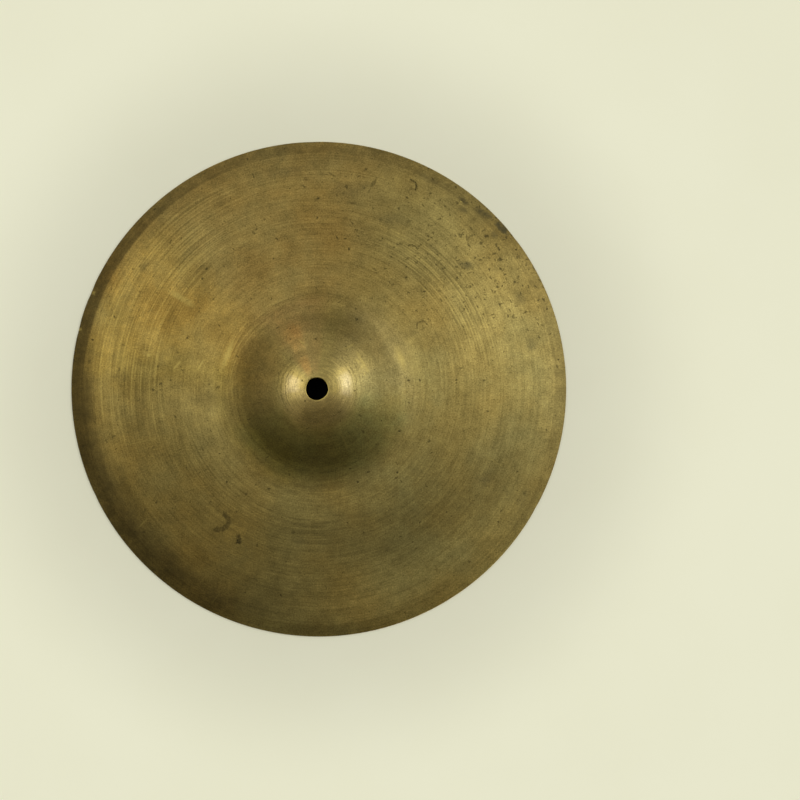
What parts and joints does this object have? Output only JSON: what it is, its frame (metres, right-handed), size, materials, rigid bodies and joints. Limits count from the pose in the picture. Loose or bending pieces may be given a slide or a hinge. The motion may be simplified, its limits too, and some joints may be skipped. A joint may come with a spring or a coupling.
{
  "type": "crash cymbal",
  "caption": "Small round bronze cymbal with a domed bell, shallow lathed bow, narrow turned edge band and central mounting hole.",
  "frame": {"origin": "centre of the mounting hole, halfway through the metal of the bell's crown", "axes": "+Z along the disc's axis, out of the top of the bell; X and Y are any pair across the disc, which is round"},
  "size_m": [0.3048, 0.3048, 0.0346],
  "materials": {
    "bronze": "aged bell bronze, lathed, with light patina, stains and worn hole rim"
  },
  "bodies": {
    "root": {"cymbal": "bronze"}
  },
  "joints": []
}
